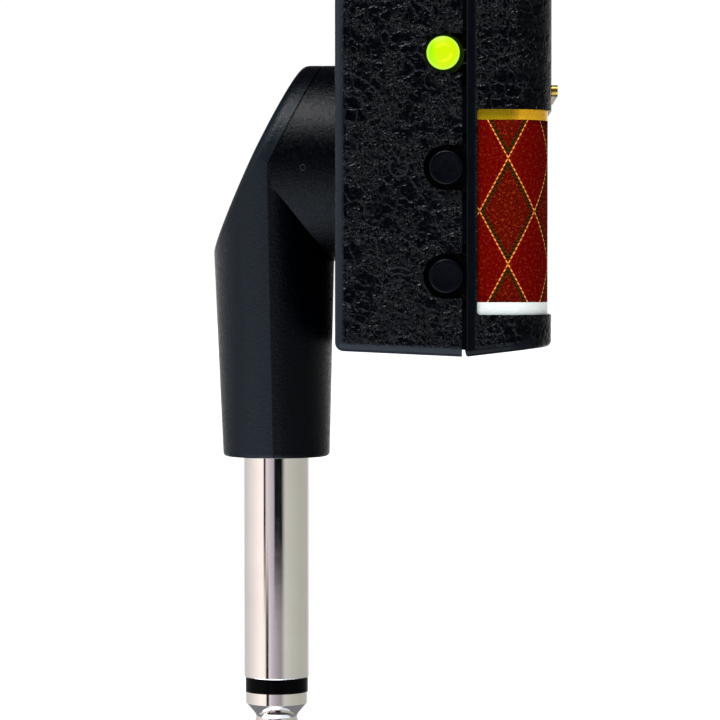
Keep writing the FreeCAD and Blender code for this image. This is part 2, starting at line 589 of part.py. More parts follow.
def make_led():
    front_y = -HALF_WIDTH - LED_PROUD
    lens = rod_y(LED_R, front_y, LED_BACK_Y, LED_X, LED_Z)
    ball = Part.makeSphere(LED_DOME_R, V(LED_X, front_y + LED_DOME_R, LED_Z))
    lens = lens.common(ball.fuse(box(0, 30, front_y + 0.9, 0, 0, 60)))
    flange = rod_y(LED_FLANGE_R, LED_BACK_Y - 0.5, LED_BACK_Y, LED_X, LED_Z)
    save("status_led", lens.fuse(flange).removeSplitter())

    leads = []
    for offset in (-0.6, 0.6):
        z = LED_Z + offset
        corner_y, radius = -21.9, 0.8
        arc = quarter_arc((LED_X, corner_y - radius, z), (LED_X, corner_y, z),
                          (LED_X + radius, corner_y, z))
        leads.append(pipe([((LED_X, LED_BACK_Y, z), arc[0]), arc,
                           (arc[2], (BOARD_X, corner_y, z))], 0.22))
    save("led_leads", *leads)


# ======================================================================================
#  electronics
# ======================================================================================
def make_board():
    board = box(BOARD_X, BOARD_X + BOARD_THICK, -BOARD_HALF_WIDTH, BOARD_HALF_WIDTH,
                BOARD_BOTTOM_Z, BOARD_TOP_Z)
    holes = [rod_x(POST_R + 0.2, 0, 30, y, z) for y, z in CASE_SCREW_YZ]
    holes += [rod_x(0.8, 0, 30, y, z) for y, z in BOARD_SCREW_YZ]
    save("main_board", largest(board.cut(holes)))

    def chip(y, z, wide, high, tall):
        return box(BOARD_X - tall, BOARD_X, y - wide / 2, y + wide / 2,
                   z - high / 2, z + high / 2)

    save("processor_chip", chip(y=9.5, z=36.5, wide=7.0, high=7.0, tall=0.9))
    save("audio_converter_chip", chip(y=8.0, z=24.0, wide=4.4, high=5.0, tall=1.0))
    save("charger_chip", chip(y=14.5, z=25.0, wide=3.0, high=3.0, tall=0.8))
    save("clock_crystal", chip(y=3.6, z=40.2, wide=2.5, high=3.2, tall=0.8))
    save("radio_shield_can", chip(y=-6.0, z=43.6, wide=9.5, high=7.4, tall=1.8))
    save("chip_antenna", chip(y=0.0, z=50.6, wide=7.0, high=2.0, tall=1.0))

    rows, columns = 4, 5
    first_y, first_z = -14.0, 32.0
    column_pitch, row_pitch = 2.6, 3.0
    passives = [chip(y=first_y + column * column_pitch, z=first_z - row * row_pitch,
                     wide=0.8, high=1.6, tall=0.7)
                for row in range(rows) for column in range(columns)]
    save("board_passives", *passives)


def make_usb_port():
    centre_x = BOARD_X - USB_HALF_TALL
    mouth_y = HALF_WIDTH - 0.9

    def stadium(half_long, half_tall, y0, y1):
        body = box(centre_x - half_tall, centre_x + half_tall, y0, y1,
                   USB_Z - half_long, USB_Z + half_long)
        return body.makeFillet(half_tall * 0.85, edges_where(
            body, lambda e: runs_along(e, Y_AXIS)))

    wall = 0.32
    shell = stadium(USB_HALF_LONG, USB_HALF_TALL, mouth_y - USB_DEPTH, mouth_y)
    hollow = stadium(USB_HALF_LONG - wall, USB_HALF_TALL - wall, mouth_y - USB_DEPTH + 0.6,
                     mouth_y + 1)
    save("usb_port_shell", shell.cut(hollow))
    tongue = box(centre_x - 0.35, centre_x + 0.35, mouth_y - USB_DEPTH + 0.6, mouth_y - 1.4,
                 USB_Z - 3.3, USB_Z + 3.3)
    save("usb_port_tongue", tongue)


def make_battery():
    x0, x1, y0, y1, z0, z1 = BATTERY
    cell = box(*BATTERY)
    cell = cell.makeFillet(1.2, edges_where(cell, lambda e: runs_along(e, Z_AXIS)))
    save("battery_cell", cell)
    inner_x = FRONT_X - FRONT_WALL
    save("battery_foam_pads", box(x1, inner_x, y0 + 4, y1 - 4, z0 + 4, z1 - 4),
         box(BOARD_X + BOARD_THICK, x0, y0 + 3, y1 - 3, z0 + 3, z1 - 3))

    board_front = BOARD_X + BOARD_THICK
    header_z = 48.4
    header = box(board_front, board_front + 3.2, -3.2, 3.2, header_z, header_z + 3.2)
    socket = box(board_front + 0.5, board_front + 2.7, -2.7, 2.7, header_z - 1, header_z + 2.5)
    save("battery_header", header.cut(socket))
    save("battery_connector", socket.common(box(0, 40, -9, 9, header_z - 0.6, 60)))
    lead_x = board_front + 1.6
    for name, y in (("battery_lead_red", -1.0), ("battery_lead_black", 1.0)):
        save(name, rod_z(0.45, z1, header_z - 0.6, lead_x, y))


def make_signal_lead():
    meet_x, gap = 7.0, 0.1
    bend = 3.6
    arc = quarter_arc((0, 0, HUB_Z - bend), (0, 0, HUB_Z), (bend, 0, HUB_Z))
    save("signal_lead_arm", pipe([((0, 0, SHANK_TOP_Z + 3.0), arc[0]), arc,
                                  (arc[2], (meet_x - gap, 0, HUB_Z))], COAX_R))

    bend = 2.2
    first_x, drop = 12.4, 2.0
    down = quarter_arc((first_x, 0, HUB_Z), (first_x + bend, 0, HUB_Z),
                       (first_x + bend, 0, HUB_Z - bend))
    low_z = HUB_Z - bend - drop
    out = quarter_arc((first_x + bend, 0, low_z), (first_x + bend, 0, low_z - bend),
                      (first_x + 2 * bend, 0, low_z - bend))
    save("signal_lead_housing", pipe([((meet_x, 0, HUB_Z), down[0]), down,
                                      (down[2], out[0]), out,
                                      (out[2], (BOARD_X, 0, low_z - bend))], COAX_R))


os.makedirs("parts", exist_ok=True)
make_plug()
make_arm()
make_swivel()
make_rear_shell()
make_front_shell()
make_trim()
make_case_screws()
make_button("power", POWER_Z)
make_button("link", LINK_Z)
make_led()
make_board()
make_usb_port()
make_battery()
make_signal_lead()
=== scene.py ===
import json
import math

import bmesh
import bpy
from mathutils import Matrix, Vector


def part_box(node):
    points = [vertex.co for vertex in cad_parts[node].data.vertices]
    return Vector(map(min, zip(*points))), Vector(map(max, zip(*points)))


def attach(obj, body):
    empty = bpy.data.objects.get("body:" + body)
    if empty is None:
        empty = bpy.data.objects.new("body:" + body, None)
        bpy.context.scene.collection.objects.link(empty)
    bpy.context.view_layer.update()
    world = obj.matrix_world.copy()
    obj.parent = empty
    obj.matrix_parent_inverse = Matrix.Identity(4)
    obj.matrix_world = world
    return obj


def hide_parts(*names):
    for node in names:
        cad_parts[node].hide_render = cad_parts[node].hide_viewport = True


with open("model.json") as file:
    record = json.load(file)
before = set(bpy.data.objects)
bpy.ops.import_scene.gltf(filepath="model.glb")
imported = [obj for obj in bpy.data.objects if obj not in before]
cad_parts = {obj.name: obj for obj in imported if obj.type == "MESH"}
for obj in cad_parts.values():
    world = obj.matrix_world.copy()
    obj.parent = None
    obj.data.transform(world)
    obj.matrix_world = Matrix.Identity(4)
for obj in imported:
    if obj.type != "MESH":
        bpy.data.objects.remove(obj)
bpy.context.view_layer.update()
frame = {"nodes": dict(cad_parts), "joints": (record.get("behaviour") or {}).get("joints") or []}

# Looks for the guitar transmitter.  Everything is in metres in the CAD model's own frame:
# +Z up the plug, +X towards the decorated front, -Y the side with the buttons.  Inside the
# materials, sizes and places are in millimetres of the same frame.
MM = 0.001
NODES = frame["nodes"]


# ======================================================================================
#  places read from the frame
# ======================================================================================
def centre(node):
    low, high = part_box(node)
    return (low + high) / 2


def joint_place(name):
    found = [joint for joint in frame["joints"] if joint["name"] == name][0]
    return Vector(found["pos_m"])


REAR_LOW, REAR_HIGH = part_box("rear_shell")
CLOTH_LOW, CLOTH_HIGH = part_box("grille_cloth_panel")
FRONT_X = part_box("front_shell")[1].x
HALF_WIDTH = REAR_HIGH.y
SWIVEL = joint_place("housing_swivel")
POWER = centre("power_button")
LINK = centre("link_button")

# The sides of both shells lean inwards by this much on the way from the seam.
SIDE_LEAN = math.radians(0.8)

# The Mix node has sockets for several kinds of value.  These are the ones for colours.
MIX_A, MIX_B, MIX_RESULT = 6, 7, 2


# ======================================================================================
#  node-tree shorthand
# ======================================================================================
class Nodes:
    """Short calls for the nodes that the materials and the studio need."""

    def __init__(self, tree):
        self.tree = tree

    def node(self, kind, **settings):
        made = self.tree.nodes.new(kind)
        for key, value in settings.items():
            setattr(made, key, value)
        return made

    def feed(self, node, socket, value):
        """Sets a socket to a value, or links another node's output to it."""
        target = node.inputs[socket]
        if isinstance(value, bpy.types.NodeSocket):
            self.tree.links.new(value, target)
        else:
            target.default_value = value

    def split(self, vector):
        """A vector's x, y and z."""
        axes = self.node("ShaderNodeSeparateXYZ")
        self.feed(axes, 0, vector)
        return tuple(axes.outputs)

    def math(self, operation, a, b=0.0, c=0.0, clamp=False):
        made = self.node("ShaderNodeMath", operation=operation, use_clamp=clamp)
        for socket, value in enumerate((a, b, c)):
            self.feed(made, socket, value)
        return made.outputs[0]

    def add(self, first, *others):
        total = first
        for value in others:
            total = self.math("ADD", total, value)
        return total

    def times(self, first, *others):
        product = first
        for value in others:
            product = self.math("MULTIPLY", product, value)
        return product

    def minus(self, a, b):
        return self.math("SUBTRACT", a, b)

    def absolute(self, value):
        return self.math("ABSOLUTE", value)

    def wave(self, place, per_mm):
        """A sine from -1 to 1 with per_mm waves to the millimetre."""
        return self.math("SINE", self.times(place, per_mm * math.tau))

    def smooth(self, value, start, end, at_start=0.0, at_end=1.0):
        """A soft step, from at_start where the value is start to at_end where it is end."""
        made = self.node("ShaderNodeMapRange", interpolation_type="SMOOTHSTEP")
        for socket, number in zip(("Value", "From Min", "From Max", "To Min", "To Max"),
                                  (value, start, end, at_start, at_end)):
            self.feed(made, socket, number)
        return made.outputs[0]

    def blend(self, factor, color_a, color_b):
        """color_a where the factor is 0, color_b where it is 1."""
        made = self.node("ShaderNodeMix", data_type="RGBA")
        self.feed(made, "Factor", factor)
        for socket, color in ((MIX_A, color_a), (MIX_B, color_b)):
            linked = isinstance(color, bpy.types.NodeSocket)
            self.feed(made, socket, color if linked else (*color, 1.0))
        return made.outputs[MIX_RESULT]


class Surface(Nodes):
    """A material: the shader's own values, and the nodes that are fed to it."""

    def __init__(self, name, color, roughness, metallic=0.0, **sockets):
        self.material = bpy.data.materials.new(name)
        self.material.use_nodes = True
        super().__init__(self.material.node_tree)
        self.shader = self.tree.nodes["Principled BSDF"]
        self.shader.inputs["Base Color"].default_value = (*color, 1.0)
        self.shader.inputs["Roughness"].default_value = roughness
        self.shader.inputs["Metallic"].default_value = metallic
        for socket, value in sockets.items():
            self.shader.inputs[socket.replace("_", " ")].default_value = value
        self._place = None

    def attribute(self, name):
        return self.node("ShaderNodeAttribute", attribute_name=name).outputs["Vector"]

    def place(self):
        """Position on the object in millimetres."""
        if self._place is None:
            where = self.node("ShaderNodeTexCoord").outputs["Object"]
            self._place = self.scaled(where, 1 / MM)
        return self._place

    def scaled(self, vector, factor):
        made = self.node("ShaderNodeVectorMath", operation="SCALE")
        self.feed(made, 0, vector)
        made.inputs["Scale"].default_value = factor
        return made.outputs[0]

    def combined(self, operation, vector, other):
        """Two vectors combined axis by axis."""
        made = self.node("ShaderNodeVectorMath", operation=operation)
        self.feed(made, 0, vector)
        self.feed(made, 1, other)
        return made.outputs[0]

    def stretched(self, factors):
        """Position times a factor for each axis: a larger one makes noise finer along it."""
        return self.combined("MULTIPLY", self.place(), factors)

    def noise(self, size, detail=2.0, roughness=0.5, distortion=0.0, source=None,
              output="Fac"):
        """Noise from 0 to 1 with features about size millimetres across."""
        made = self.node("ShaderNodeTexNoise")
        self.feed(made, "Vector", self.place() if source is None else source)
        made.inputs["Scale"].default_value = 1 / size
        made.inputs["Detail"].default_value = detail
        made.inputs["Roughness"].default_value = roughness
        made.inputs["Distortion"].default_value = distortion
        return made.outputs[output]

    def warped(self, size, amount):
        """Position pushed about by noise, so that cells lose their straight sides."""
        push = self.combined("SUBTRACT", self.noise(size, output="Color"), (0.5, 0.5, 0.5))
        return self.combined("ADD", self.place(), self.scaled(push, amount))

    def cells(self, size, source, feature="F1"):
        """Distance to the nearest cell's middle, or to the nearest edge between cells."""
        made = self.node("ShaderNodeTexVoronoi", feature=feature)
        self.feed(made, "Vector", source)
        made.inputs["Scale"].default_value = 1 / size
        return made.outputs["Distance"]

    def bump(self, height, depth, strength=1.0, under=None):
        """Adds relief.  height runs from 0 to 1 over depth millimetres."""
        made = self.node("ShaderNodeBump")
        made.inputs["Strength"].default_value = strength
        made.inputs["Distance"].default_value = depth * MM
        self.feed(made, "Height", height)
        if under is not None:
            self.feed(made, "Normal", under)
        self.feed(self.shader, "Normal", made.outputs[0])
        return made.outputs[0]

    def color(self, value):
        self.feed(self.shader, "Base Color", value)

    def uneven_roughness(self, pattern, at_dark, at_light, dark=0.3, light=0.7):
        """Roughness from at_dark to at_light, as a pattern goes from dark to light."""
        made = self.smooth(pattern, dark, light, at_dark, at_light)
        self.feed(self.shader, "Roughness", made)


def paint(surface, *nodes):
    """Gives CAD nodes a material in place of the plain one."""
    for node in nodes:
        slots = NODES[node].data.materials
        slots.clear()
        slots.append(surface.material)


def dimmed(color, share):
    return tuple(channel * share for channel in color)


# ======================================================================================
#  materials of the box and the arm
# ======================================================================================
def grained_shell():
    """Black moulded plastic with a pebbled leather grain and smooth rims."""
    black, ridge_highlight_grey = (0.0001, 0.0003, 0.0008), (0.005, 0.0056, 0.0066)
    large_share, small_share, lump_share = 0.5, 0.38, 0.24
    grain_depth, skin_depth = 0.17, 0.004
    glossy, dull = 0.17, 0.24
    s = Surface("grained_shell", (0.003, 0.0042, 0.0055), roughness=0.3, Specular_IOR_Level=0.072)

    def pebbles(size, push_size, push, groove):
        """1 on the pebbles and 0 between them.  groove is a share of a pebble's size."""
        to_edge = s.cells(size, s.warped(push_size, push), feature="DISTANCE_TO_EDGE")
        return s.smooth(to_edge, 0.0, groove)

    large = pebbles(1.35, push_size=0.8, push=1.0, groove=0.12)
    small = pebbles(0.55, push_size=0.35, push=0.45, groove=0.16)
    lumps = s.noise(0.34, detail=3.0, roughness=0.62)
    # Neither kind of pebble is equally strong all over.
    large_strength = s.smooth(s.noise(0.9, detail=1.0), 0.40, 0.56, at_start=0.3)
    small_strength = s.smooth(s.noise(1.9, detail=1.0), 0.38, 0.58)
    height = s.add(s.times(large, large_strength, large_share),
                   s.times(small, small_strength, small_share),
                   s.times(lumps, lump_share))
    rims = rim_mask(s)
    skin = s.bump(s.noise(0.09), skin_depth, strength=0.5)
    s.bump(s.times(height, rims), grain_depth, under=skin)
    s.uneven_roughness(s.noise(1.2, detail=3.0), glossy, dull)
    # Painted highlight: short stretches between the large pebbles are painted a little lighter,
    # standing in for light caught along the grain's ridges.
    painted_ridge_highlight = s.times(s.smooth(large, 0.4, 0.0), s.smooth(lumps, 0.46, 0.62))
    s.color(s.blend(rims, rim_color_and_sheen(s), s.blend(painted_ridge_highlight, black, ridge_highlight_grey)))
    return s


def rim_color_and_sheen(s):
    """The smooth rims: nearly black on the front shell, and painted a little lighter on the rear
    one as a painted reflection of the light from the left.
    """
    # rear carries the painted reflection on the rear shell's rounded rims.
    front, rear = (0.0010, 0.0016, 0.0026), (0.0080, 0.0108, 0.0152)
    seam_x, half_fade = REAR_HIGH.x / MM, 0.05
    x, _, _ = s.split(s.place())
    return s.blend(s.smooth(x, seam_x + half_fade, seam_x - half_fade), front, rear)


def rim_mask(s):
    """1 on the grained faces, 0 on the smooth rims, corners and inner walls of both shells."""
    rim, rim_fade = 0.52, 0.34
    strip, strip_end = 0.72, 1.0
    # The top and bottom slope with the mould's draft, steeper on the front shell.
    rear_draft, front_draft = 0.0454, 0.119
    seam_gap = 0.35
    skin_start, skin_end = 0.3, 0.42
    openings_start, openings_end = 2.3, 2.6

    x, y, z = s.split(s.place())
    front_seam_x = REAR_HIGH.x / MM + seam_gap
    past_seam = s.minus(x, front_seam_x)
    draft = s.math("MAXIMUM", s.times(s.minus(front_seam_x, x), rear_draft),
                   s.times(past_seam, front_draft))
    above = s.minus(s.minus(z, REAR_LOW.z / MM), draft)
    below = s.minus(s.minus(REAR_HIGH.z / MM, z), draft)
    to_end = s.math("MINIMUM", above, below)
    to_side = s.minus(HALF_WIDTH / MM, s.absolute(y))
    to_cap = s.math("MINIMUM", s.minus(x, REAR_LOW.x / MM), s.minus(FRONT_X / MM, x))

    # On a face one distance is near 0; the second smallest is the way to the nearest edge.
    low = s.math("MINIMUM", to_side, to_end)
    high = s.math("MAXIMUM", to_side, to_end)
    second = s.math("MINIMUM", high, s.math("MAXIMUM", low, to_cap))
    grain = s.smooth(second, rim, rim + rim_fade)
    # A smooth strip runs along the seam on the front shell only.
    off_strip = s.math("MAXIMUM", s.smooth(past_seam, strip, strip_end),
                       s.math("LESS_THAN", x, front_seam_x))
    # Near the seam, the walls inside it and inside the openings are smooth.
    outside = s.smooth(s.math("MINIMUM", low, to_cap), skin_end, skin_start)
    off_openings = s.smooth(s.absolute(past_seam), openings_start, openings_end)
    return s.times(grain, off_strip, s.math("MAXIMUM", outside, off_openings))


def sparked_plastic(name, color, roughness, relief):
    """Fine spark-eroded moulded plastic."""
    s = Surface(name, color, roughness, Specular_IOR_Level=0.068)
    speckle = s.noise(0.22, detail=3.0, roughness=0.7)
    s.bump(speckle, relief)
    s.uneven_roughness(s.noise(0.5), roughness - 0.05, roughness + 0.07)
    s.color(s.blend(speckle, dimmed(color, 0.75), color))
    return s


ARM_BLACK = (0.0, 0.0003, 0.0010)


def cover_plastic():
    """The arm's outer cover: painted a touch greyer than the inner housing as painted light from
    the left, and painted black at its top as painted shade.
    """
    grey = (0.0040, 0.0060, 0.0086)
    painted_shade_to, painted_light_from = 0.8, 5.5
    s = sparked_plastic("arm_cover_plastic", grey, roughness=0.27, relief=0.05)
    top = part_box("arm_inner_housing")[1].z / MM
    _, _, z = s.split(s.place())
    # Painted light and shade: grey lower down, fading to black near the top.
    s.color(s.blend(s.smooth(z, top - painted_shade_to, top - painted_light_from), ARM_BLACK, grey))
    return s


def nickel():
    """Polished plating with faint lengthwise wipe marks and turned rings."""
    dull, bright = (0.78, 0.745, 0.72), (0.87, 0.85, 0.82)
    lengthwise, ringed = (14.0, 14.0, 0.25), (0.3, 0.3, 22.0)
    relief_depth = 0.0012
    s = Surface("nickel", (0.83, 0.80, 0.77), roughness=0.05, metallic=1.0)
    wipes = s.noise(1.0, detail=3.0, roughness=0.6, source=s.stretched(lengthwise))
    rings = s.noise(1.0, detail=2.0, roughness=0.6, source=s.stretched(ringed))
    s.uneven_roughness(wipes, 0.035, 0.09, light=0.75)
    s.color(s.blend(s.noise(3.0, detail=3.0), dull, bright))
    under = s.bump(wipes, relief_depth, strength=0.5)
    s.bump(rings, relief_depth, strength=0.5, under=under)
    return s


def metal(name, color, roughness):
    """Plain worked metal with a fine brushed grain."""
    s = Surface(name, color, roughness, metallic=1.0)
    brushed = s.noise(0.5, detail=3.0, roughness=0.6, source=s.stretched((1.0, 1.0, 9.0)))
    s.uneven_roughness(brushed, roughness * 0.8, roughness * 1.3)
    s.color(s.blend(s.noise(1.3, detail=3.0), dimmed(color, 0.86), color))
    s.bump(brushed, depth=0.004, strength=0.6)
    return s


def plastic(name, color, roughness, grain=0.25, relief=0.01, gloss=0.5):
    """Moulded plastic with a slight unevenness in colour and gloss."""
    s = Surface(name, color, roughness, Specular_IOR_Level=gloss)
    s.bump(s.noise(grain, detail=3.0, roughness=0.6), relief, strength=0.8)
    s.color(s.blend(s.noise(2.0), dimmed(color, 0.88), color))
    s.uneven_roughness(s.noise(0.8), roughness * 0.88, roughness * 1.12)
    return s


def argyle_cloth():
    """Dark red cloth with a diamond lattice of gold cord and dark shadow threads.

    The piece's "wrap" attribute holds the way round the band in x and the height in y,
    both counted in diamonds from a crossing on the side's middle.  Its "cloth_mm"
    attribute holds the same two in millimetres."""
    s = Surface("argyle_cloth", (0.12, 0.002, 0.001), roughness=0.85, Specular_IOR_Level=0.006)
    across, up, _ = s.split(s.attribute("wrap"))
    cloth_mm = s.attribute("cloth_mm")
    across_mm, up_mm, _ = s.split(cloth_mm)
    rising = s.add(across, up)
    falling = s.minus(across, up)

    def to_line(value):
        """Distance to the nearest cord of one family, 0 on it and 0.5 midway."""
        return s.absolute(s.minus(s.math("FRACT", s.add(value, 0.5)), 0.5))

    nearest = s.math("MINIMUM", to_line(rising), to_line(falling))

    # Shaded diamonds are those whose two cell numbers add up to an odd number.
    cell_sum = s.add(s.math("FLOOR", rising), s.math("FLOOR", falling))
    odd = s.math("FRACT", s.times(cell_sum, 0.5))
    shaded = s.math("GREATER_THAN", odd, 0.25)

    # Woven threads, with stray brighter ones.
    threads_per_mm = 4.2
    weave = s.times(s.wave(across_mm, threads_per_mm), s.wave(up_mm, threads_per_mm))
    weave = s.math("MULTIPLY_ADD", weave, 0.5, 0.5)
    fuzz = s.noise(0.14, detail=2.0, roughness=0.7, source=cloth_mm)
    speck = s.smooth(s.add(s.times(weave, 0.5), s.times(fuzz, 0.8)), 0.45, 1.0)
    stray = s.smooth(s.noise(0.26, detail=2.0, roughness=0.75, source=cloth_mm), 0.52, 0.68)

    def red_cloth(low, high, stray_share, stray_color):
        return s.blend(s.times(stray, stray_share), s.blend(speck, low, high), stray_color)

    bright = red_cloth(low=(0.054, 0.0, 0.0), high=(0.094, 0.0008, 0.0003),
                       stray_share=0.65, stray_color=(0.115, 0.014, 0.004))
    dark = red_cloth(low=(0.016, 0.0, 0.0), high=(0.120, 0.004, 0.001),
                     stray_share=0.8, stray_color=(0.160, 0.018, 0.003))
    cloth = s.blend(shaded, bright, dark)

    # Dark green threads lie just inside the shaded diamonds.
    shadow_centre, shadow_half, shadow_strength = 0.054, 0.038, 0.92
    ropes_per_mm, rope_share = 3.1, 0.12
    darkest, olive = (0.0003, 0.0006, 0.0002), (0.022, 0.018, 0.002)
    off_shadow = s.absolute(s.minus(nearest, shadow_centre))
    shadow = s.times(s.smooth(off_shadow, shadow_half, shadow_half * 0.45), shaded)
    mottled = s.smooth(s.add(fuzz, s.times(s.wave(up_mm, ropes_per_mm), rope_share)), 0.3, 0.75)
    green = s.blend(mottled, darkest, olive)
    cloth = s.blend(s.times(shadow, shadow_strength), cloth, green)

    # Gold cord: two twisted strands show as slanting dashes.
    cord_half, cord_core = 0.0165, 0.007
    twists_per_mm, frayed = 2.6, 0.6
    brown, gold = (0.16, 0.022, 0.002), (0.56, 0.205, 0.040)
    cord = s.smooth(nearest, cord_half, cord_core)
    twist = s.wave(up_mm, twists_per_mm)
    strand = s.smooth(s.add(twist, s.times(fuzz, frayed)), -0.6, 0.7)
    s.color(s.blend(cord, cloth, s.blend(strand, brown, gold)))
    s.uneven_roughness(cord, 0.8, 0.6, dark=0.0, light=1.0)

    relief_depth = 0.03
    weave_share, cord_share, fuzz_share = 0.4, 0.8, 0.25
    s.bump(s.add(s.times(weave, weave_share), s.times(cord, cord_share),
                 s.times(fuzz, fuzz_share)),
           relief_depth, strength=0.8)
    return s


def gold_foil():
    """Worn gold strip.  Where it bends round the front corner it is painted warmer, a painted
    reflection on the bend.
    """
    dull, bright, warm = (0.42, 0.28, 0.006), (0.50, 0.33, 0.010), (0.70, 0.37, 0.016)
    flat_length, half_fade = 3.15, 0.2
    s = Surface("gold_foil", (0.60, 0.36, 0.01), roughness=0.16, metallic=0.62,
                Specular_IOR_Level=0.1)
    fine = s.noise(0.35, detail=3.0, roughness=0.6)
    s.bump(fine, depth=0.006, strength=0.8)
    x, _, _ = s.split(s.place())
    bend = CLOTH_LOW.x / MM + flat_length
    bent = s.smooth(x, bend - half_fade, bend + half_fade)
    # Painted reflection: past the bend the strip is painted a warmer gold.
    s.color(s.blend(bent, s.blend(s.noise(1.5), dull, bright), warm))
    s.uneven_roughness(fine, 0.12, 0.2)
    return s


def lamp_glow():
    """Lit, diffused lamp: yellow-green, greener on one side, with a paler rim and patches."""
    yellow_green, green = (0.69, 0.93, 0.0), (0.36, 1.0, 0.0)
    patch_yellow, rim_green, unlit = (0.92, 1.0, 0.012), (0.60, 1.0, 0.06), (0.004, 0.008, 0.0)
    patch_r, patch_half = 0.72, 0.22
    rim_r, rim_end = 1.22, 1.32
    lens_end, body_start = -0.75, -0.55
    wobble, yellow_x, green_x = 0.8, 0.1, -0.9
    s = Surface("lamp_glow", (0.02, 0.04, 0.001), roughness=0.3, Specular_IOR_Level=0.04)
    offset = s.combined("SUBTRACT", s.place(), centre("status_led") / MM)
    length = s.node("ShaderNodeVectorMath", operation="LENGTH")
    s.feed(length, 0, s.combined("MULTIPLY", offset, (1.0, 0.0, 1.0)))
    radius = length.outputs["Value"]
    across, depth, _ = s.split(offset)
    wobbly_x = s.add(across, s.times(s.noise(1.3, detail=1.0), wobble))
    greener = s.smooth(wobbly_x, yellow_x, green_x)
    glow = s.blend(greener, yellow_green, green)
    off_ring = s.absolute(s.math("DIVIDE", s.minus(radius, patch_r), patch_half))
    ring = s.math("SUBTRACT", 1.0, off_ring, clamp=True)
    patchy = s.times(ring, s.smooth(s.noise(0.9, detail=1.0), 0.47, 0.62))
    glow = s.blend(patchy, glow, patch_yellow)
    glow = s.blend(s.smooth(radius, rim_r, rim_end), glow, rim_green)
    # Only the lens outside the shell shines; the body behind it stays dark.
    glow = s.blend(s.smooth(depth, lens_end, body_start), glow, unlit)
    s.feed(s.shader, "Emission Color", glow)
    s.shader.inputs["Emission Strength"].default_value = 0.92
    s.bump(s.noise(0.3), depth=0.002, strength=0.4)
    return s


# ======================================================================================
#  materials of the insides
# ======================================================================================
def circuit_board():
    """Green solder mask with copper tracks that show through as paler lines."""
    mask, track = (0.010, 0.09, 0.035), (0.03, 0.19, 0.08)
    tracks_per_cell = 6.0
    s = Surface("circuit_board", (0.012, 0.11, 0.045), roughness=0.35)
    spread = s.cells(1.6, s.place())
    lines = s.smooth(s.math("FRACT", s.times(spread, tracks_per_cell)), 0.42, 0.5)
    s.color(s.blend(lines, mask, track))
    s.bump(lines, depth=0.03, strength=0.6)
    return s


def cell_foil():
    """Creased foil of the battery's pouch."""
    s = Surface("cell_foil", (0.72, 0.73, 0.75), roughness=0.28, metallic=1.0)
    creases = s.noise(3.0, detail=4.0, roughness=0.55, distortion=0.6)
    s.bump(creases, depth=0.12, strength=0.5)
    s.uneven_roughness(creases, 0.22, 0.36)
    return s


def foam():
    """Dark foam with open pores, painted darker in their hollows as painted shade."""
    s = Surface("foam", (0.05, 0.05, 0.055), roughness=0.9)
    pores = s.cells(0.4, s.place())
    s.bump(pores, depth=0.12)
    # Painted shade: the pores' sunken centres are painted darker.
    s.color(s.blend(pores, (0.02, 0.02, 0.022), (0.08, 0.08, 0.085)))
    return s


def dress_cad_nodes():
    """Every CAD node that stays gets its material here."""
    paint(grained_shell(), "rear_shell", "front_shell")
    paint(cover_plastic(), "arm_outer_cover")
    paint(sparked_plastic("arm_plastic", ARM_BLACK, roughness=0.25, relief=0.055),
          "arm_inner_housing")
    paint(sparked_plastic("button_plastic", (0.0003, 0.0008, 0.0020), roughness=0.34,
                          relief=0.01), "power_button", "link_button")
    paint(gold_foil(), "gold_trim_strip")
    paint(plastic("white_strip", (0.53, 0.565, 0.55), roughness=0.3, grain=0.4, relief=0.004,
                  gloss=0.25), "white_trim_strip")
    paint(metal("badge_gold", (0.34, 0.22, 0.05), roughness=0.34), "badge_plate")
    paint(plastic("badge_black", (0.010, 0.010, 0.011), roughness=0.2, grain=0.4, relief=0.004),
          "badge_inlay")
    paint(lamp_glow(), "status_led")

    paint(nickel(), "plug_sleeve", "plug_tip")
    paint(plastic("plug_insulator", (0.0006, 0.0006, 0.0008), roughness=0.2, grain=0.3,
                  relief=0.004, gloss=0.03), "plug_insulator")
    paint(plastic("fibre_washer", (0.28, 0.06, 0.035), roughness=0.7, grain=0.1, relief=0.02),
          "plug_rear_washer")

    paint(metal("brass", (0.75, 0.55, 0.22), roughness=0.3),
          "tip_solder_lug", "ground_solder_lug")
    paint(metal("black_zinc", (0.055, 0.055, 0.06), roughness=0.35),
          "arm_screws", "case_screws", "board_screws")
    paint(metal("turned_steel", (0.56, 0.56, 0.57), roughness=0.3),
          "swivel_spindle", "usb_port_shell", "radio_shield_can", "clock_crystal")
    paint(metal("spring_steel", (0.35, 0.36, 0.38), roughness=0.28),
          "swivel_spring_washer", "swivel_retaining_clip")
    paint(metal("tinned_wire", (0.10, 0.10, 0.10), roughness=0.35), "led_leads")
    paint(plastic("nylon", (0.78, 0.76, 0.70), roughness=0.42),
          "swivel_bush", "swivel_glide_ring", "battery_header", "battery_connector")
    paint(circuit_board(), "main_board")
    paint(plastic("chip_plastic", (0.02, 0.02, 0.022), roughness=0.5),
          "processor_chip", "audio_converter_chip", "charger_chip")
    paint(plastic("ceramic_part", (0.42, 0.32, 0.22), roughness=0.55, grain=0.15),
          "chip_antenna", "board_passives")
    paint(plastic("switch_plastic", (0.03, 0.03, 0.032), roughness=0.45),
          "usb_port_tongue", "power_switch_body", "link_switch_body",
          "power_switch_plunger", "link_switch_plunger")
    paint(cell_foil(), "battery_cell")
    paint(foam(), "battery_foam_pads")
    paint(plastic("wire_red", (0.42, 0.012, 0.010), roughness=0.4), "battery_lead_red")
    paint(plastic("wire_black", (0.012, 0.012, 0.013), roughness=0.4),
          "battery_lead_black", "signal_lead_arm", "signal_lead_housing")


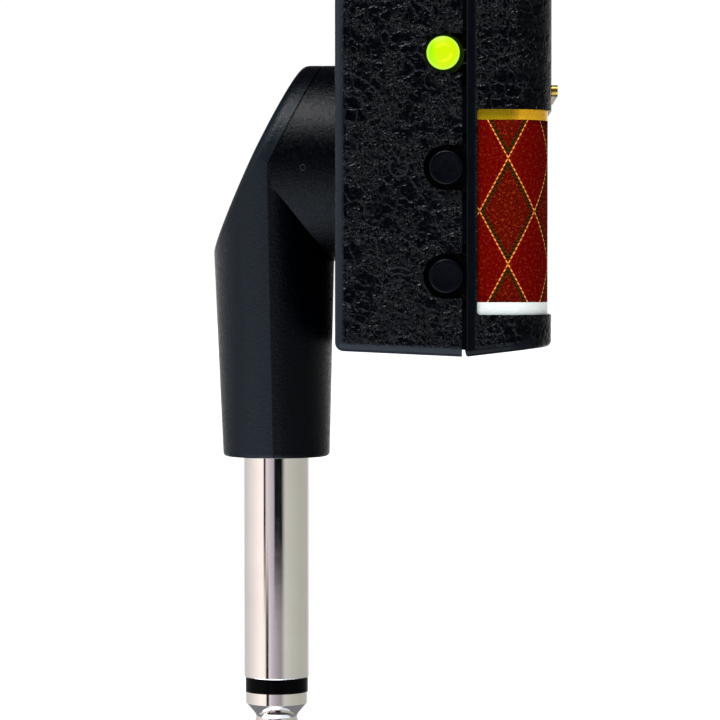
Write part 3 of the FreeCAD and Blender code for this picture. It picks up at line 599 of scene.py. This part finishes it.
# ======================================================================================
#  pieces made here
# ======================================================================================
def new_piece(name, bm, surface, body):
    mesh = bpy.data.meshes.new(name)
    bm.normal_update()
    bm.to_mesh(mesh)
    bm.free()
    piece = bpy.data.objects.new(name, mesh)
    bpy.context.scene.collection.objects.link(piece)
    mesh.materials.append(surface.material)
    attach(piece, body)
    return piece


def band_outline():
    """Plan of the cloth band's outside: points with their outward normal and way along.

    It runs from the start of the -Y side, round the upright corner, across the front and
    back along the +Y side, like the CAD band that it stands for."""
    start_x, face_x = CLOTH_LOW.x, CLOTH_HIGH.x
    half = CLOTH_HIGH.y
    corner_r = 3.42 * MM
    side_steps, corner_steps, half_face_steps = 14, 14, 32
    rise = math.tan(SIDE_LEAN)
    centre_x = face_x - corner_r
    # Where the leaning side meets the corner's arc.
    tangent_x = centre_x + corner_r * math.sin(SIDE_LEAN)
    half_at_tangent = half - (tangent_x - start_x) * rise
    centre_y = -half_at_tangent + corner_r * math.cos(SIDE_LEAN)

    points = []
    for i in range(side_steps):
        along = (tangent_x - start_x) * i / side_steps
        points.append((start_x + along, -half + along * rise,
                       math.sin(SIDE_LEAN), -math.cos(SIDE_LEAN)))
    for i in range(corner_steps + 1):
        angle = -math.pi / 2 + SIDE_LEAN + (math.pi / 2 - SIDE_LEAN) * i / corner_steps
        nx, ny = math.cos(angle), math.sin(angle)
        points.append((centre_x + corner_r * nx, centre_y + corner_r * ny, nx, ny))
    for i in range(1, half_face_steps + 1):
        points.append((face_x, centre_y * (1 - i / half_face_steps), 1.0, 0.0))
    points += [(x, -y, nx, -ny) for x, y, nx, ny in reversed(points[:-1])]

    outline, way = [], 0.0
    for i, (x, y, nx, ny) in enumerate(points):
        if i:
            way += math.hypot(x - points[i - 1][0], y - points[i - 1][1])
        outline.append((x, y, nx, ny, way))
    return outline


def make_cloth():
    """The cloth band, with the way round it stored for the pattern."""
    outline = band_outline()
    low_z, high_z = CLOTH_LOW.z, CLOTH_HIGH.z
    rows = 24
    thickness = 0.5 * MM
    diamond_wide, diamond_tall = 5.0 * MM, 9.3 * MM
    crossing_way, crossing_z = 2.72 * MM, 27.65 * MM
    edge_normal_z = 0.5
    bm = bmesh.new()

    def skin(inward):
        """A grid of vertices, row by row, on the outline moved inwards."""
        grid = []
        for row in range(rows + 1):
            z = low_z + (high_z - low_z) * row / rows
            grid.append([bm.verts.new((x - nx * inward, y - ny * inward, z))
                         for x, y, nx, ny, _ in outline])
        return grid

    outer, inner = skin(0.0), skin(thickness)
    last = len(outline) - 1
    for r in range(rows):
        for c in range(last):
            bm.faces.new((outer[r][c], outer[r][c + 1], outer[r + 1][c + 1], outer[r + 1][c]))
            bm.faces.new((inner[r][c], inner[r + 1][c], inner[r + 1][c + 1], inner[r][c + 1]))
    for c in range(last):
        bm.faces.new((outer[0][c], inner[0][c], inner[0][c + 1], outer[0][c + 1]))
        bm.faces.new((outer[rows][c], outer[rows][c + 1], inner[rows][c + 1], inner[rows][c]))
    for r in range(rows):
        bm.faces.new((outer[r][0], outer[r + 1][0], inner[r + 1][0], inner[r][0]))
        bm.faces.new((outer[r][last], inner[r][last], inner[r + 1][last], outer[r + 1][last]))
    piece = new_piece("grille_cloth", bm, argyle_cloth(), "housing")

    mesh = piece.data
    wrap = mesh.attributes.new("wrap", "FLOAT_VECTOR", "POINT")
    cloth = mesh.attributes.new("cloth_mm", "FLOAT_VECTOR", "POINT")
    ways = [way for *_, way in outline] * ((rows + 1) * 2)
    for i, vertex in enumerate(mesh.vertices):
        way, z = ways[i], vertex.co.z
        wrap.data[i].vector = ((way - crossing_way) / diamond_wide,
                               (z - crossing_z) / diamond_tall, 0.0)
        cloth.data[i].vector = (way / MM, z / MM, 0.0)
    # All of it but the narrow top and bottom edges is shaded smooth.
    for polygon in mesh.polygons:
        polygon.use_smooth = abs(polygon.normal.z) < edge_normal_z
    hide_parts("grille_cloth_panel")


def raised_stroke(bm, points, width):
    """A flat-topped ridge along points on the rear shell's -Y side, in X and Z."""
    sunk, relief = 0.03 * MM, 0.07 * MM
    top_share = 0.7
    rows = []
    for i, (x, z) in enumerate(points):
        before, after = points[max(i - 1, 0)], points[min(i + 1, len(points) - 1)]
        along = Vector((after[0] - before[0], after[1] - before[1])).normalized()
        across = Vector((-along.y, along.x)) * width / 2
        face_y = -HALF_WIDTH + (REAR_HIGH.x - x) * math.tan(SIDE_LEAN)
        foot, top = face_y + sunk, face_y - relief
        rows.append([bm.verts.new((x + across.x * share, y, z + across.y * share))
                     for share, y in ((1.0, foot), (top_share, top),
                                      (-top_share, top), (-1.0, foot))])
    for a, b in zip(rows, rows[1:]):
        for k in range(3):
            bm.faces.new((a[k], a[k + 1], b[k + 1], b[k]))
        bm.faces.new((a[3], a[0], b[0], b[3]))
    bm.faces.new(list(reversed(rows[0])))
    bm.faces.new(rows[-1])


def arc(centre_x, centre_z, radius, start, end, steps=28):
    """Points round a centre, from one angle in degrees to another."""
    angles = [math.radians(start + (end - start) * i / steps) for i in range(steps + 1)]
    return [(centre_x + radius * math.cos(angle), centre_z + radius * math.sin(angle))
            for angle in angles]


def make_symbols():
    """Raised symbols beside the buttons: a generic power sign and generic radio waves."""
    surface = sparked_plastic("symbol_plastic", (0.010, 0.011, 0.014), roughness=0.34,
                              relief=0.006)
    symbol_x = POWER.x - 4.15 * MM
    line = 0.2 * MM
    power_r, power_arc, power_bar = 0.8 * MM, (125, 415), (0.25 * MM, 1.0 * MM)
    wave_radii, wave_arc, wave_foot = (0.55 * MM, 1.1 * MM, 1.65 * MM), (52, 128), 0.9 * MM
    dot_r, dot_arc, dot_line = 0.12 * MM, (0, 350), line * 0.9

    bm = bmesh.new()
    raised_stroke(bm, arc(symbol_x, POWER.z, power_r, *power_arc), line)
    raised_stroke(bm, [(symbol_x, POWER.z + rise) for rise in power_bar], line)
    bmesh.ops.recalc_face_normals(bm, faces=bm.faces)
    new_piece("power_symbol", bm, surface, "housing")

    bm = bmesh.new()
    foot_z = LINK.z - wave_foot
    for radius in wave_radii:
        raised_stroke(bm, arc(symbol_x, foot_z, radius, *wave_arc, steps=16), line)
    raised_stroke(bm, arc(symbol_x, foot_z, dot_r, *dot_arc, steps=12), dot_line)
    bmesh.ops.recalc_face_normals(bm, faces=bm.faces)
    new_piece("link_symbol", bm, surface, "housing")


def make_pin_mark():
    """Witness ring that a mould pin leaves on the hub's side."""
    surface = sparked_plastic("mark_plastic", (0.012, 0.013, 0.017), roughness=0.34,
                              relief=0.006)
    hub_r = 9.35 * MM
    ring_r, ring_wide, ring_high = 0.26 * MM, 0.045 * MM, 0.02 * MM
    centre_x, centre_z = 2.96 * MM, SWIVEL.z - 0.7 * MM
    around, across = 32, 8
    bm = bmesh.new()
    rings = []
    for i in range(around):
        turn = math.tau * i / around
        ring = []
        for j in range(across):
            roll = math.tau * j / across
            reach = ring_r + ring_wide * math.cos(roll)
            x = centre_x + reach * math.cos(turn)
            z = centre_z + reach * math.sin(turn)
            y = -math.sqrt(hub_r ** 2 - (z - SWIVEL.z) ** 2)
            ring.append(bm.verts.new((x, y - ring_high * math.sin(roll), z)))
        rings.append(ring)
    for i in range(around):
        for j in range(across):
            a, b = rings[i], rings[(i + 1) % around]
            k = (j + 1) % across
            bm.faces.new((a[j], b[j], b[k], a[k]))
    bmesh.ops.recalc_face_normals(bm, faces=bm.faces)
    piece = new_piece("hub_pin_mark", bm, surface, "plug_arm")
    for polygon in piece.data.polygons:
        polygon.use_smooth = True


def make_usb_contacts():
    """Two rows of gold contacts on the charging port's tongue."""
    low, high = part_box("usb_port_tongue")
    middle, size = (low + high) / 2, high - low
    count, pitch = 12, 0.5 * MM
    wide, high_above, edge_r = 0.27 * MM, 0.03 * MM, 0.008 * MM
    length_share = 0.8
    bm = bmesh.new()
    for row_x in (low.x, high.x):
        for i in range(count):
            z = middle.z + (i - (count - 1) / 2) * pitch
            for vertex in bmesh.ops.create_cube(bm, size=1.0)["verts"]:
                x, y, up = vertex.co
                vertex.co = (row_x + x * high_above * 2,
                             middle.y + y * size.y * length_share, z + up * wide)
    bmesh.ops.bevel(bm, geom=bm.edges[:], offset=edge_r, segments=1, affect="EDGES")
    surface = metal("contact_gold", (0.85, 0.62, 0.25), roughness=0.22)
    new_piece("usb_contacts", bm, surface, "housing")


# ======================================================================================
#  studio
# ======================================================================================
def make_floor():
    """Pale floor just under the plug's tip."""
    reach = 3.0
    floor_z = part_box("plug_tip")[0].z - 0.2 * MM
    bm = bmesh.new()
    bm.faces.new([bm.verts.new((x * reach, y * reach, floor_z))
                  for x, y in ((-1, -1), (1, -1), (1, 1), (-1, 1))])
    mesh = bpy.data.meshes.new("floor")
    bm.to_mesh(mesh)
    bm.free()
    floor = bpy.data.objects.new("floor", mesh)
    bpy.context.scene.collection.objects.link(floor)
    s = Surface("pale_floor", (0.93, 0.93, 0.925), roughness=0.6)
    s.color(s.blend(s.noise(300.0), (0.92, 0.92, 0.915), (0.94, 0.94, 0.935)))
    s.shader.inputs["Emission Color"].default_value = (1.0, 1.0, 0.995, 1.0)
    s.shader.inputs["Emission Strength"].default_value = 0.95
    mesh.materials.append(s.material)
    # The plug shows the studio round it, not the table, so gloss doesn't see the floor.
    floor.visible_glossy = False


def make_world():
    """Soft studio: bright overhead, bright left, a grey right and dark strips in front."""
    world = bpy.data.worlds.new("studio")
    bpy.context.scene.world = world
    world.use_nodes = True
    sky = Nodes(world.node_tree)
    background = world.node_tree.nodes["Background"]
    x, y, z = sky.split(sky.node("ShaderNodeTexCoord").outputs["Generated"])

    # Bearings are 0 towards -Y, a quarter turn towards +X and a half turn towards +Y.
    bearing = sky.math("ARCTAN2", x, sky.times(y, -1.0))
    turn = sky.add(sky.math("DIVIDE", bearing, math.tau), 0.5)

    def round_horizon(stops):
        """Colour by bearing, from a list of bearings in degrees and their colours."""
        made = sky.node("ShaderNodeValToRGB")
        sky.feed(made, 0, turn)
        elements = made.color_ramp.elements
        while len(elements) > 1:
            elements.remove(elements[-1])
        for index, (degrees, color) in enumerate(stops):
            place = degrees / 360 + 0.5
            element = elements.new(place) if index else elements[0]
            element.position = place
            element.color = (*color, 1.0)
        return made.outputs[0]

    white, warm, mauve = (1.1, 1.1, 1.1), (1.2, 1.1, 1.05), (0.66, 0.59, 0.66)
    grey_green, dark = (0.56, 0.57, 0.51), (0.005, 0.005, 0.006)
    behind_left = [(-180, white), (-140, (0.66, 0.64, 0.64))]
    far_right = [(62, grey_green), (95, (0.50, 0.50, 0.46)), (135, (0.50, 0.50, 0.48)),
                 (165, white), (180, white)]
    level = round_horizon([
        *behind_left, (-105, (0.84, 0.80, 0.80)), (-78, (1.05, 0.95, 0.92)),
        (-60, warm), (-45, warm), (-42, dark), (-38, dark),
        (-34, (0.88, 0.78, 0.80)), (-20, mauve), (-8, (0.50, 0.46, 0.52)),
        (-3, dark), (20, dark),
        (25, (0.26, 0.26, 0.25)), (33, (0.62, 0.62, 0.58)), *far_right])
    # Lower down, the broad dark strip is lit by the table.
    below = round_horizon([
        *behind_left, (-105, (0.78, 0.75, 0.75)), (-78, (1.02, 0.93, 0.90)),
        (-58, warm), (-39, warm), (-33, dark), (-28, dark),
        (-23, (0.90, 0.80, 0.82)), (-16, mauve), (-5, (0.54, 0.48, 0.54)),
        (6, (0.42, 0.38, 0.42)), (18, (0.33, 0.32, 0.34)),
        (32, (0.66, 0.66, 0.64)), *far_right])
    # Edges between the sources are start and end values of the direction's x, y or z.
    table_edge, low_edge = (-0.092, -0.108), (-0.24, -0.5)
    shade_edge, high_edge = (0.12, 0.28), (0.42, 0.72)
    front_edge, left_edge = (0.12, -0.22), (0.4, -0.15)
    light = sky.blend(sky.smooth(z, *table_edge), level, below)

    # Big soft sources above and below lie in front of the object; behind them it is dark.
    shade = (0.05, 0.05, 0.055)
    low_behind, low_right, low_left = (0.22, 0.22, 0.24), (1.0, 1.1, 1.3), (4.4, 5.0, 5.8)
    high_right, high_left = (0.4, 0.45, 0.5), (1.0, 1.1, 1.25)
    in_front = sky.smooth(y, *front_edge)
    to_left = sky.smooth(x, *left_edge)
    low_light = sky.blend(in_front, low_behind, sky.blend(to_left, low_right, low_left))
    high_light = sky.blend(in_front, shade, sky.blend(to_left, high_right, high_left))
    light = sky.blend(sky.smooth(z, *low_edge), light, low_light)
    light = sky.blend(sky.smooth(z, *shade_edge), light, shade)
    light = sky.blend(sky.smooth(z, *high_edge), light, high_light)

    # What the camera sees behind the object is plain white from every side.
    plain_white = (1.02, 1.02, 1.01)
    seen = sky.node("ShaderNodeLightPath").outputs["Is Camera Ray"]
    sky.feed(background, "Color", sky.blend(seen, light, plain_white))
    background.inputs["Strength"].default_value = 1.0


def look_at(thing, place, target):
    """Adds a lamp or camera to the scene, at a place and pointing at a target."""
    thing.location = place
    thing.rotation_euler = (target - place).to_track_quat("-Z", "Y").to_euler()
    bpy.context.scene.collection.objects.link(thing)


def add_area_light(name, place, size, power):
    middle = Vector((0.010, 0.0, 0.020))
    light = bpy.data.lights.new(name, "AREA")
    light.shape = "RECTANGLE"
    light.size, light.size_y = size
    light.energy = power
    look_at(bpy.data.objects.new(name, light), Vector(place), middle)


def make_camera():
    """About level with the lower button, nearly square to the -Y side, 0.3 m away."""
    camera = bpy.data.cameras.new("camera")
    camera.sensor_width = 36.0
    camera.lens = 154.0
    camera.clip_start, camera.clip_end = 0.01, 20.0
    holder = bpy.data.objects.new("camera", camera)
    eye = Vector((16.0 * MM, -296.0 * MM, 17.3 * MM))
    look_at(holder, eye, Vector((8.03 * MM, 0.0, 9.23 * MM)))
    bpy.context.scene.camera = holder


# ======================================================================================
#  build
# ======================================================================================
dress_cad_nodes()
make_cloth()
make_symbols()
make_pin_mark()
make_usb_contacts()
make_floor()
make_world()
add_area_light("overhead_box", place=(-0.05, -0.17, 0.34), size=(0.20, 0.14), power=2.5)
add_area_light("left_box", place=(-0.30, -0.10, 0.14), size=(0.16, 0.16), power=0.25)
make_camera()
bpy.context.scene.view_settings.view_transform = "Standard"
